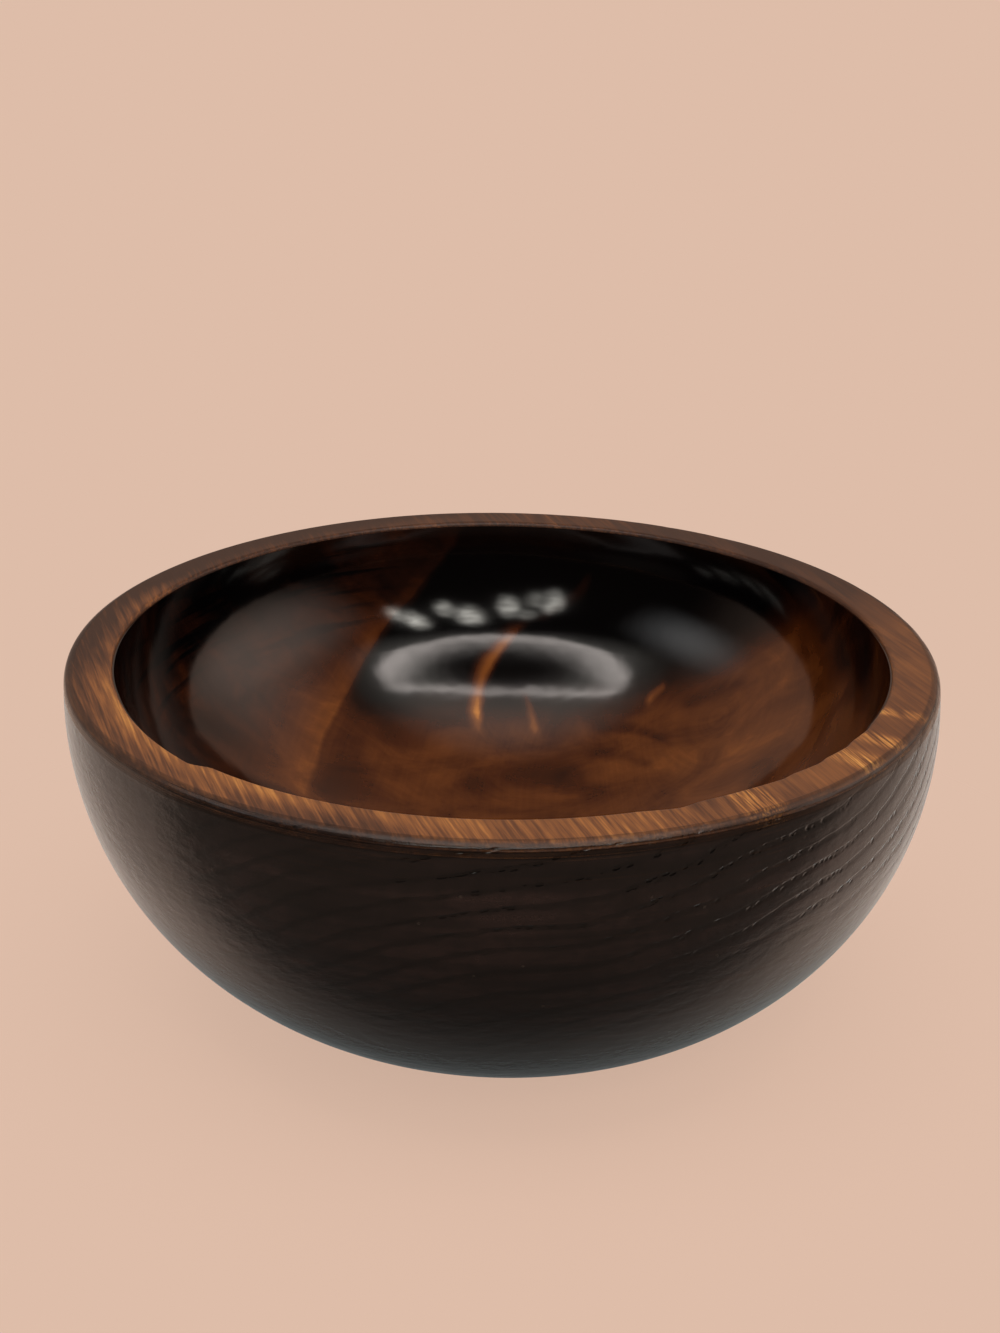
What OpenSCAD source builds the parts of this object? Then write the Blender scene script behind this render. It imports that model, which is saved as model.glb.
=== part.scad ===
// A round wooden bowl, turned from one block of dark wood.
// The inside carries a hard clear lacquer coat; the rim and the outside are bare satin wood.
// The bowl stands on z = 0, with its turning axis along Z.

/* [Bowl] */
// Widest outside diameter
bowl_d = 180; // [150:1:240]
// Height from the table to the top of the rim
bowl_h = 75; // [62:1:90]
// How far below the rim the wall is widest
belly_drop = 9; // [5:0.5:16]
// Diameter at which the outside meets the table, before its edge is eased
base_d = 85; // [70:1:105]

/* [Wall] */
// How far the mouth of the hollow stands in from the widest line
wall_t = 10; // [6:0.5:14]
// Thickness of the floor at its middle
floor_t = 17; // [12:0.5:20]
// Radius of the arc that turns the hollow up into the wall
hollow_wall_r = 41; // [34:1:44]

/* [Rim] */
// Radius that rounds the outer edge of the rim
rim_outer_r = 2.1; // [1:0.1:3]
// Radius that eases the inner edge of the rim
rim_inner_r = 0.9; // [0.4:0.1:2]

/* [Base] */
// Radius that eases the edge of the base
base_edge_r = 1.5; // [0.6:0.1:3]
// Width of the flat ring that the bowl stands on
foot_ring_w = 11; // [7:0.5:18]
// Depth of the shallow dish turned inside that ring
foot_dish_h = 1.6; // [0.6:0.1:3]

/* [Lacquer] */
// Thickness of the clear coat inside
lacquer_t = 0.3; // [0.15:0.05:0.6]

/* [Hidden] */
$fn = 240;

// Length by which a cutting shape runs past what it cuts
overrun = 5;

bowl_r = bowl_d / 2;
base_r = base_d / 2;
belly_z = bowl_h - belly_drop;

// The outside is one arc: widest at the belly, and through the edge of the base
outer_arc_r = (pow(bowl_r - base_r, 2) + pow(belly_z, 2)) / (2 * (bowl_r - base_r));
outer_arc_c = [bowl_r - outer_arc_r, belly_z];

// The hollow is two tangent arcs: a wall that stands upright at the rim, and a broad floor across the axis
hollow_wall_c = [bowl_r - wall_t - hollow_wall_r, bowl_h];
hollow_floor_r = (pow(hollow_wall_c[0], 2) + pow(bowl_h - floor_t, 2) - pow(hollow_wall_r, 2))
               / (2 * (bowl_h - floor_t - hollow_wall_r));
hollow_floor_c = [0, floor_t + hollow_floor_r];

// Centres of the three easing arcs, each tangent to a flat and to a wall arc
rim_outer_c = [arc_x(outer_arc_c, outer_arc_r - rim_outer_r, bowl_h - rim_outer_r), bowl_h - rim_outer_r];
rim_inner_c = [arc_x(hollow_wall_c, hollow_wall_r + rim_inner_r, bowl_h - rim_inner_r), bowl_h - rim_inner_r];
base_edge_c = [arc_x(outer_arc_c, outer_arc_r - base_edge_r, base_edge_r), base_edge_r];

// The easing arcs leave the wall arcs at these points
rim_outer_end = toward(outer_arc_c, rim_outer_c, outer_arc_r);
rim_inner_end = toward(hollow_wall_c, rim_inner_c, hollow_wall_r);
base_edge_end = toward(outer_arc_c, base_edge_c, outer_arc_r);

// The dish under the base is a spherical cap inside the foot ring
dish_r = base_edge_c[0] - foot_ring_w;
dish_sphere_r = (pow(dish_r, 2) + pow(foot_dish_h, 2)) / (2 * foot_dish_h);

// Distance from the turning axis at which an arc of that centre and radius reaches a height
function arc_x(centre, radius, z) = centre[0] + sqrt(pow(radius, 2) - pow(z - centre[1], 2));

// The point at a distance from one point, on the way through another
function toward(from, through, distance) = from + (through - from) * distance / norm(through - from);

// Half section of everything between the axis and an arc, from the axis outwards
module inside_arc(centre, radius, low, high) {
  intersection() {
    translate([0, low]) square([centre[0] + radius, high - low]);
    union() {
      translate([0, low]) square([centre[0], high - low]);
      translate(centre) circle(r = radius);
    }
  }
}

// The sliver that an easing arc takes off a corner
module corner_sliver(from, corner, to, centre, radius) {
  difference() {
    polygon([from, corner, to]);
    translate(centre) circle(r = radius);
  }
}

// Slivers off the two edges of the rim and the edge of the base
module eased_edges() {
  corner_sliver([rim_outer_c[0], bowl_h], [bowl_r + overrun, bowl_h + overrun], rim_outer_end,
                rim_outer_c, rim_outer_r);
  corner_sliver([rim_inner_c[0], bowl_h], [hollow_wall_c[0], bowl_h + overrun], rim_inner_end,
                rim_inner_c, rim_inner_r);
  corner_sliver([base_edge_c[0], 0], [bowl_r, -overrun], base_edge_end, base_edge_c, base_edge_r);
}

// Half section of the hollow up to a height, with both of its arcs drawn in by a margin
module hollow_section(margin, top) {
  meet = toward(hollow_floor_c, hollow_wall_c, hollow_floor_r - margin);
  intersection() {
    square([bowl_r, meet[1]]);
    translate(hollow_floor_c) circle(r = hollow_floor_r - margin);
  }
  inside_arc(hollow_wall_c, hollow_wall_r - margin, meet[1] - overrun, top);
}

// Half section of the shallow dish under the base
module dish_section() {
  intersection() {
    translate([0, -overrun]) square([dish_r, foot_dish_h + overrun]);
    translate([0, foot_dish_h - dish_sphere_r]) circle(r = dish_sphere_r);
  }
}

// The turned block of wood
module turned_body() {
  color("#3a2118")
    rotate_extrude()
      difference() {
        inside_arc(outer_arc_c, outer_arc_r, 0, bowl_h);
        hollow_section(0, bowl_h + overrun);
        eased_edges();
        dish_section();
      }
}

// The clear coat that lines the hollow, from the eased inner edge of the rim down over the floor
module inside_lacquer() {
  color("#8a4a1f", 0.4)
    rotate_extrude()
      difference() {
        hollow_section(0, rim_inner_end[1]);
        hollow_section(lacquer_t, bowl_h);
      }
}

turned_body();
inside_lacquer();
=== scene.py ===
"""Looks of a turned wooden bowl: one block of dark figured wood with a lacquered hollow."""

from __future__ import annotations

import logging
import math
from abc import ABC, abstractmethod
from dataclasses import dataclass
from enum import Enum
from typing import Mapping, Optional, Sequence, Union

import bpy
from mathutils import Matrix, Vector


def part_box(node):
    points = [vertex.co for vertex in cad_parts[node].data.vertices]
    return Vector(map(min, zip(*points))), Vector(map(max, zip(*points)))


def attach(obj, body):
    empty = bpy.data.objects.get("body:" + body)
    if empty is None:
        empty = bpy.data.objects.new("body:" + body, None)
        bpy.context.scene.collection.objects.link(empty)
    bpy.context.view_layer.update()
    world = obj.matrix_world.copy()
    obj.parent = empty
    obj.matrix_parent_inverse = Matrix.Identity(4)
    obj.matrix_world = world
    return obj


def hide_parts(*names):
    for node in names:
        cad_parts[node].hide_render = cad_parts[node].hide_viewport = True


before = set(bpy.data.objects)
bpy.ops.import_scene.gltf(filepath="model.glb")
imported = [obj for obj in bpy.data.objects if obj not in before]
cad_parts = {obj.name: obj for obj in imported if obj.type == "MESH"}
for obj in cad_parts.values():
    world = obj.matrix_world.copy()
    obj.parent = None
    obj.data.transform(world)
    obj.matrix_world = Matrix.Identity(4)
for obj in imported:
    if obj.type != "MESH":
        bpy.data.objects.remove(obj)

LOG = logging.getLogger("bowl")
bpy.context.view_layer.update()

BODY = "root"
STAIN = "stain"

Point = tuple[float, float]
Place = tuple[float, float, float]
Colour = tuple[float, float, float]
Stops = tuple[tuple[float, Colour], ...]
# The two ends of a stretch of values, then the levels at those ends where they are not 0 and 1
Ease = tuple[float, ...]
Value = Union["Field", float, int, Sequence[float]]


def opaque(colour: Colour) -> tuple[float, float, float, float]:
    """Adds full opacity to a colour."""
    return (*colour, 1.0)


class Field:
    """A value that differs from place to place: a node's output, with arithmetic that adds nodes."""

    def __init__(self, sheet: NodeSheet, socket: bpy.types.NodeSocket) -> None:
        """Notes the output and the sheet that it is on."""
        self.sheet = sheet
        self.socket = socket

    def __add__(self, other: Value) -> Field:
        """Adds a number."""
        return self.sheet.math("ADD", self, other)

    def __sub__(self, other: Value) -> Field:
        """Takes a number off."""
        return self.sheet.math("SUBTRACT", self, other)

    def __rsub__(self, other: Value) -> Field:
        """Takes this off a number."""
        return self.sheet.math("SUBTRACT", other, self)

    def __mul__(self, other: Value) -> Field:
        """Multiplies by a number."""
        return self.sheet.math("MULTIPLY", self, other)

    def __truediv__(self, other: Value) -> Field:
        """Divides by a number."""
        return self.sheet.math("DIVIDE", self, other)

    def __neg__(self) -> Field:
        """Turns the sign round."""
        return self * -1.0

    __radd__ = __add__
    __rmul__ = __mul__

    def eased(self, start: Value, end: Value, first: Value = 0.0, last: Value = 1.0,
              kind: str = "SMOOTHSTEP") -> Field:
        """Goes from one level to another over a stretch of values, held at both ends.

        Args:
            start: The value that has the first level.
            end: The value that has the last level.
            first: The first level.
            last: The last level.
            kind: How it goes between them.

        Returns:
            The level.
        """
        inputs = {"Value": self, "From Min": start, "From Max": end, "To Min": first, "To Max": last}
        return self.sheet.field("ShaderNodeMapRange", inputs, interpolation_type=kind, clamp=True)

    def straight(self, first: Value, last: Value) -> Field:
        """Goes from one level at 0 to another at 1, in a straight line."""
        return self.eased(0.0, 1.0, first, last, "LINEAR")

    def swing(self, reach: Value) -> Field:
        """Makes a field that is 0.5 on average swing to both sides of 0."""
        return (self - 0.5) * reach


class NodeSheet:
    """A shader or geometry tree, with short calls for the nodes that this bowl needs."""

    def __init__(self, tree: bpy.types.NodeTree) -> None:
        """Starts on the tree that every node goes into."""
        self.tree = tree

    def fill(self, node: bpy.types.Node, inputs: Mapping) -> None:
        """Feeds a node: a field is linked, and a plain value is set on the input itself.

        Args:
            node: The node.
            inputs: Fields or values for its inputs, by name or index.
        """
        for key, value in inputs.items():
            if isinstance(value, Field):
                self.tree.links.new(value.socket, node.inputs[key])
            else:
                node.inputs[key].default_value = value

    def add(self, kind: str, inputs: Optional[Mapping] = None, **settings) -> bpy.types.Node:
        """Adds a node.

        Args:
            kind: The node's type name.
            inputs: Fields or values for its inputs, by name or index.
            **settings: Values for the node's own options.

        Returns:
            The new node.
        """
        node = self.tree.nodes.new(kind)
        for name, setting in settings.items():
            setattr(node, name, setting)
        self.fill(node, inputs or {})
        return node

    def field(self, kind: str, inputs: Optional[Mapping] = None, output: Union[int, str] = 0,
              **settings) -> Field:
        """Adds a node and gives one of its outputs, by name or index."""
        return Field(self, self.add(kind, inputs, **settings).outputs[output])

    def math(self, operation: str, *values: Value) -> Field:
        """Does arithmetic on numbers."""
        return self.field("ShaderNodeMath", dict(enumerate(values)), operation=operation)

    def vector(self, operation: str, *values: Value) -> Field:
        """Does arithmetic on vectors; a length or a distance is a number."""
        output = 1 if operation in ("LENGTH", "DISTANCE") else 0
        return self.field("ShaderNodeVectorMath", dict(enumerate(values)), output, operation=operation)

    def scaled(self, vector: Value, factor: Value) -> Field:
        """Multiplies a vector by a number."""
        return self.field("ShaderNodeVectorMath", {0: vector, "Scale": factor}, operation="SCALE")

    def split(self, vector: Value) -> list[Field]:
        """Gives a vector's three parts."""
        return [Field(self, part) for part in self.add("ShaderNodeSeparateXYZ", {0: vector}).outputs]

    def join(self, x: Value, y: Value) -> Field:
        """Makes a level vector of its two parts."""
        return self.field("ShaderNodeCombineXYZ", {0: x, 1: y, 2: 0.0})

    def length(self, x: Value, y: Value) -> Field:
        """Gives the length of a level vector."""
        return self.vector("LENGTH", self.join(x, y))

    def oval(self, x: Field, y: Field, half_x: float, half_y: float) -> Field:
        """Gives how far out a place is in an oval about 0, by its half sizes: 1 on its edge."""
        return self.length(x / half_x, y / half_y)

    def turn(self, x: Field, y: Field) -> Field:
        """Gives the turn of a place round the bowl, from the front to the right."""
        return self.math("ARCTAN2", x, -y)

    def noise(self, vector: Value, scale: float, detail: float = 2.0, roughness: float = 0.5,
              distortion: float = 0.0) -> Field:
        """Samples smooth noise, from 0 to 1 and about 0.5 on average.

        Args:
            vector: Where it is sampled.
            scale: Number of features in a unit of length.
            detail: Number of finer layers.
            roughness: Strength of each finer layer.
            distortion: How far the noise is warped.

        Returns:
            The noise.
        """
        inputs = {"Vector": vector, "Scale": scale, "Detail": detail, "Roughness": roughness,
                  "Distortion": distortion}
        return self.field("ShaderNodeTexNoise", inputs, noise_dimensions="3D")

    def stretched(self, vector: Value, scales: Place, *settings: float) -> Field:
        """Samples noise with a scale for each axis, and with noise's settings after its scale."""
        return self.noise(self.vector("MULTIPLY", vector, scales), 1.0, *settings)

    def drift(self, vector: Value, scale: float, reach: float, detail: float) -> Field:
        """Moves a place about by smooth noise.

        Args:
            vector: The place.
            scale: Number of features in a unit of length.
            reach: How far it moves at most.
            detail: Number of finer layers.

        Returns:
            The moved place.
        """
        inputs = {"Vector": vector, "Scale": scale, "Detail": detail}
        colour = self.field("ShaderNodeTexNoise", inputs, "Color", noise_dimensions="3D")
        centred = self.vector("SUBTRACT", colour, (0.5, 0.5, 0.5))
        return self.vector("ADD", vector, self.scaled(centred, 2.0 * reach))

    def ramp(self, value: Field, stops: Stops) -> Field:
        """Turns a number into a colour.

        Args:
            value: The number, from 0 to 1.
            stops: Pairs of a place and its colour, in order.

        Returns:
            The colour.
        """
        node = self.add("ShaderNodeValToRGB", {0: value})
        elements = node.color_ramp.elements
        for index, (place, colour) in enumerate(stops):
            element = elements[index] if index < len(elements) else elements.new(place)
            element.position = place
            element.color = opaque(colour)
        return Field(self, node.outputs[0])

    def blend(self, share: Field, first: Value, second: Value) -> Field:
        """Mixes two colours.

        Args:
            share: 0 for the first colour, 1 for the second.
            first: A colour, as three numbers or a field.
            second: A colour, as three numbers or a field.

        Returns:
            The mixed colour.
        """
        first, second = (part if isinstance(part, Field) else opaque(part) for part in (first, second))
        return self.field("ShaderNodeMix", {0: share, 6: first, 7: second}, 2, data_type="RGBA")

    def bump(self, height: Field, strength: float, depth: float) -> Field:
        """Gives the normal of a surface with a fine relief."""
        return self.field("ShaderNodeBump", {"Strength": strength, "Distance": depth, "Height": height})

    def mix_shaders(self, share: Field, first: bpy.types.Node, second: bpy.types.Node,
                    output: str) -> None:
        """Mixes two shaders into the tree's output.

        Args:
            share: 0 for the first shader, 1 for the second.
            first: A shader.
            second: A shader.
            output: Name of the output's node.
        """
        shaders = {1: Field(self, first.outputs[0]), 2: Field(self, second.outputs[0])}
        mixed = self.field("ShaderNodeMixShader", {0: share, **shaders})
        self.fill(self.tree.nodes[output], {"Surface": mixed})


@dataclass(frozen=True)
class WoodBlock:
    """The block that the bowl is cut from: where its grain and its growth rings run.

    Grain space has its first axis across the grain, its second along it and its third up, with
    its origin on the turning axis in the plane of the rim. The rings lie round a slanting pith
    outside the block.
    """

    rim_height: float
    grain_turn: float = math.radians(20)
    pith_side: float = -0.104
    pith_height: float = 0.143
    pith_side_slope: float = -0.72
    pith_height_slope: float = -0.56
    ring_pitch: float = 0.0043
    ring_wave: float = 0.0050
    wave_scale: float = 22.0
    ring_ripple: float = 0.0007
    ripple_scale: float = 160.0
    early_rise: Ease = (0.0, 0.08)
    early_fall: Ease = (0.16, 0.40, 1.0, 0.0)
    fibre_roughness: float = 0.6
    pore_core: float = 0.35

    def grain_space(self, position: Field) -> Field:
        """Turns a place in the bowl's frame into one in grain space.

        Args:
            position: The place, in the bowl's frame.

        Returns:
            The place, in grain space.
        """
        sheet = position.sheet
        raised = sheet.vector("SUBTRACT", position, (0.0, 0.0, self.rim_height))
        turn = {"Vector": raised, "Angle": -self.grain_turn, "Axis": (0.0, 0.0, 1.0)}
        return sheet.field("ShaderNodeVectorRotate", turn, rotation_type="AXIS_ANGLE")

    def ring_places(self, grain: Field) -> tuple[Field, Field]:
        """Measures a place against the growth rings.

        Args:
            grain: The place, in grain space.

        Returns:
            Its distance from the pith and its place round the ring, in metres.
        """
        sheet = grain.sheet
        side, along, height = sheet.split(grain)
        across = side - (along * self.pith_side_slope + self.pith_side)
        below = along * self.pith_height_slope + self.pith_height - height
        plain = sheet.length(across, below)
        wave = sheet.noise(grain, self.wave_scale, 1.0).swing(2.0 * self.ring_wave)
        ripple = sheet.noise(grain, self.ripple_scale, 2.0).swing(2.0 * self.ring_ripple)
        return plain + wave + ripple, sheet.math("ARCTAN2", across, below) * plain

    def early_wood(self, distance: Field) -> Field:
        """Gives 1 in the porous start of each ring and 0 in the rest, by the distance from the pith."""
        phase = distance.sheet.math("FRACT", distance / self.ring_pitch)
        return phase.eased(*self.early_rise) * phase.eased(*self.early_fall)

    def fibres(self, grain: Field, width: float, length: float, detail: float) -> Field:
        """Samples streaks along the grain, from 0 to 1, by their width and length."""
        scales = (1.0 / width, 1.0 / length, 1.0 / width)
        return grain.sheet.stretched(grain, scales, detail, self.fibre_roughness)

    def pores(self, place: Field, spacing: Place, reach: float) -> Field:
        """Scatters short open pores through the wood.

        Args:
            place: The place.
            spacing: Spacing of the pores along its three parts.
            reach: Share of the spacing that a pore fills.

        Returns:
            1 in the middle of a pore and 0 outside it.
        """
        spread = place.sheet.vector("DIVIDE", place, spacing)
        inputs = {"Vector": spread, "Scale": 1.0, "Randomness": 1.0}
        kind = {"voronoi_dimensions": "3D", "feature": "F1"}
        away = place.sheet.field("ShaderNodeTexVoronoi", inputs, "Distance", **kind)
        return away.eased(self.pore_core * reach, reach, 1.0, 0.0)


class Stretch(ABC):
    """One stretch of a turned section, in the half plane of radius and height."""

    name: str
    steps: int
    stain: Point

    @abstractmethod
    def sizes(self) -> dict[str, float]:
        """Gives the stretch's sizes by name."""

    @abstractmethod
    def draw(self, sizes: Mapping[str, Field], points: Field) -> Field:
        """Adds the nodes that draw the stretch as a curve.

        The sweep turns a section over, so a curve's second axis points down.

        Args:
            sizes: The stretch's sizes by name.
            points: The number of points on the curve.

        Returns:
            The curve.
        """


@dataclass(frozen=True)
class Arc(Stretch):
    """A round stretch, from one angle to another about its centre."""

    name: str
    centre: Point
    radius: float
    start: float
    end: float
    steps: int
    stain: Point = (0.0, 0.0)

    def sizes(self) -> dict[str, float]:
        """Gives the arc's sizes by name."""
        return {
            "centre radius": self.centre[0],
            "centre height": self.centre[1],
            "arc radius": self.radius,
            "start": self.start,
            "sweep": self.end - self.start,
        }

    def draw(self, sizes: Mapping[str, Field], points: Field) -> Field:
        """Adds the nodes that draw the arc."""
        sheet = points.sheet
        inputs = {
            "Resolution": points,
            "Radius": sizes["arc radius"],
            "Start Angle": -sizes["start"],
            "Sweep Angle": -sizes["sweep"],
        }
        arc = sheet.field("GeometryNodeCurveArc", inputs, "Curve", mode="RADIUS")
        centre = sheet.join(sizes["centre radius"], -sizes["centre height"])
        return sheet.field("GeometryNodeTransform", {"Geometry": arc, "Translation": centre}, "Geometry")


@dataclass(frozen=True)
class Flat(Stretch):
    """A straight stretch between two points."""

    name: str
    start: Point
    end: Point
    steps: int
    stain: Point = (0.0, 0.0)

    def sizes(self) -> dict[str, float]:
        """Gives the flat's sizes by name."""
        return {
            "start radius": self.start[0],
            "start height": self.start[1],
            "end radius": self.end[0],
            "end height": self.end[1],
        }

    def draw(self, sizes: Mapping[str, Field], points: Field) -> Field:
        """Adds the nodes that draw the flat."""
        sheet = points.sheet
        ends = {}
        for end in ("start", "end"):
            ends[end.capitalize()] = sheet.join(sizes[f"{end} radius"], -sizes[f"{end} height"])
        line = sheet.field("GeometryNodeCurvePrimitiveLine", ends, "Curve", mode="POINTS")
        counted = {"Curve": line, "Count": points}
        return sheet.field("GeometryNodeResampleCurve", counted, "Curve", mode="COUNT")


def toward(start: Point, through: Point, distance: float) -> Point:
    """Gives the point at a distance from one point, on the way through another."""
    reach = math.dist(start, through)
    return tuple(a + (b - a) * distance / reach for a, b in zip(start, through))


def bearing(centre: Point, point: Point) -> float:
    """Gives the angle at which a point is seen from a centre."""
    return math.atan2(point[1] - centre[1], point[0] - centre[0])


@dataclass(frozen=True)
class BowlSection:
    """Half section of the bowl, from the same driving sizes as the construction."""

    bowl_r: float
    bowl_h: float
    belly_drop: float = 0.009
    base_r: float = 0.0425
    wall_t: float = 0.010
    floor_t: float = 0.017
    hollow_wall_r: float = 0.041
    rim_outer_r: float = 0.0021
    rim_inner_r: float = 0.0009
    base_edge_r: float = 0.0015
    foot_ring_w: float = 0.011
    foot_dish_h: float = 0.0016
    lacquer_t: float = 0.0003
    shoulder_w: float = 0.0028

    @property
    def belly_z(self) -> float:
        """Height at which the wall is widest."""
        return self.bowl_h - self.belly_drop

    @property
    def outer_arc_r(self) -> float:
        """Radius of the outside's arc."""
        spread = self.bowl_r - self.base_r
        return (spread ** 2 + self.belly_z ** 2) / (2.0 * spread)

    @property
    def outer_arc_c(self) -> Point:
        """Centre of the outside's arc."""
        return (self.bowl_r - self.outer_arc_r, self.belly_z)

    @property
    def hollow_wall_c(self) -> Point:
        """Centre of the arc that turns the hollow up into the wall."""
        return (self.bowl_r - self.wall_t - self.hollow_wall_r, self.bowl_h)

    @property
    def hollow_floor_r(self) -> float:
        """Radius of the broad arc across the hollow's floor, tangent to the wall's."""
        drop = self.bowl_h - self.floor_t
        reach = self.hollow_wall_c[0] ** 2 + drop ** 2 - self.hollow_wall_r ** 2
        return reach / (2.0 * (drop - self.hollow_wall_r))

    @property
    def hollow_floor_c(self) -> Point:
        """Centre of the floor's arc, on the turning axis."""
        return (0.0, self.floor_t + self.hollow_floor_r)

    @property
    def hollow_meet(self) -> float:
        """Angle at which the floor's arc and the wall's arc meet."""
        return bearing(self.hollow_floor_c, self.hollow_wall_c)

    def eased(self, centre: Point, radius: float, height: float) -> Point:
        """Gives the centre of an easing arc, at a height and at a distance from a wall arc's centre."""
        return (centre[0] + math.sqrt(radius ** 2 - (height - centre[1]) ** 2), height)

    @property
    def rim_outer_c(self) -> Point:
        """Centre of the rounding on the rim's outer edge."""
        height = self.bowl_h - self.rim_outer_r
        return self.eased(self.outer_arc_c, self.outer_arc_r - self.rim_outer_r, height)

    @property
    def rim_inner_c(self) -> Point:
        """Centre of the easing on the rim's inner edge."""
        height = self.bowl_h - self.rim_inner_r
        return self.eased(self.hollow_wall_c, self.hollow_wall_r + self.rim_inner_r, height)

    @property
    def base_edge_c(self) -> Point:
        """Centre of the easing on the base's edge."""
        return self.eased(self.outer_arc_c, self.outer_arc_r - self.base_edge_r, self.base_edge_r)

    @property
    def rim_inner_end(self) -> Point:
        """Point at which the inner easing meets the hollow."""
        return toward(self.hollow_wall_c, self.rim_inner_c, self.hollow_wall_r)

    def body_stretches(self) -> list[Stretch]:
        """Gives the wood's section, from the middle of its floor over the rim to the middle of its foot."""
        top, bottom = math.pi / 2, -math.pi / 2
        rim_end = bearing(self.outer_arc_c, self.rim_outer_c)
        base_end = bearing(self.outer_arc_c, self.base_edge_c)
        shoulder_end = rim_end - self.shoulder_w / self.outer_arc_r
        dish_r = self.base_edge_c[0] - self.foot_ring_w
        dish_sphere_r = (dish_r ** 2 + self.foot_dish_h ** 2) / (2.0 * self.foot_dish_h)
        dish_c = (0.0, self.foot_dish_h - dish_sphere_r)
        wall_end = bearing(self.hollow_wall_c, self.rim_inner_end)
        edge, shoulder, stained = (0.48, 0.82), (0.82, 1.0), (1.0, 1.0)
        return [
            Arc("floor", self.hollow_floor_c, self.hollow_floor_r, bottom, self.hollow_meet, 8),
            Arc("hollow", self.hollow_wall_c, self.hollow_wall_r, self.hollow_meet, wall_end, 10),
            Arc("inner edge", self.rim_inner_c, self.rim_inner_r, wall_end + math.pi, top, 8),
            Flat("rim", (self.rim_inner_c[0], self.bowl_h), (self.rim_outer_c[0], self.bowl_h), 14),
            Arc("outer edge", self.rim_outer_c, self.rim_outer_r, top, rim_end, 12, edge),
            Arc("shoulder", self.outer_arc_c, self.outer_arc_r, rim_end, shoulder_end, 8, shoulder),
            Arc("outside", self.outer_arc_c, self.outer_arc_r, shoulder_end, base_end, 104, stained),
            Arc("base edge", self.base_edge_c, self.base_edge_r, base_end, bottom, 6, stained),
            Flat("foot ring", (self.base_edge_c[0], 0.0), (dish_r, 0.0), 6, stained),
            Arc("dish", dish_c, dish_sphere_r, bearing(dish_c, (dish_r, 0.0)), top, 10, stained),
        ]

    def lacquer_stretches(self) -> list[Stretch]:
        """Gives the coat's section, from the middle of its face up the hollow, round its lip and back."""
        bottom, meet = -math.pi / 2, self.hollow_meet
        face_floor_r = self.hollow_floor_r - self.lacquer_t
        face_wall_r = self.hollow_wall_r - self.lacquer_t
        lip_z = self.rim_inner_end[1]
        lip_turn = math.asin((lip_z - self.bowl_h) / face_wall_r)
        lip_r = self.hollow_wall_c[0] + face_wall_r * math.cos(lip_turn)
        back_turn = bearing(self.hollow_wall_c, self.rim_inner_end)
        return [
            Arc("face floor", self.hollow_floor_c, face_floor_r, bottom, meet, 64),
            Arc("face wall", self.hollow_wall_c, face_wall_r, meet, lip_turn, 60),
            Flat("lip", (lip_r, lip_z), self.rim_inner_end, 2),
            Arc("back wall", self.hollow_wall_c, self.hollow_wall_r, back_turn, meet, 10),
            Arc("back floor", self.hollow_floor_c, self.hollow_floor_r, meet, bottom, 8),
        ]


@dataclass(frozen=True)
class Nick:
    """A place where the inner edge of the rim is worn back, by its turn from the front to the right."""

    turn: float
    depth: float
    before: float
    after: float

    def worn(self, angle: Field) -> Field:
        """Gives how far the edge is worn back at an angle round the rim."""
        gap = angle - math.radians(self.turn)
        rise = gap.eased(-math.radians(self.before), 0.0, 0.0, self.depth, "LINEAR")
        return rise * gap.eased(0.0, math.radians(self.after), 1.0, 0.0)


def stain_share(sheet: NodeSheet) -> Field:
    """Reads the share of stain in a geometry tree."""
    return sheet.field("GeometryNodeInputNamedAttribute", {"Name": STAIN}, data_type="FLOAT")


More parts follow.
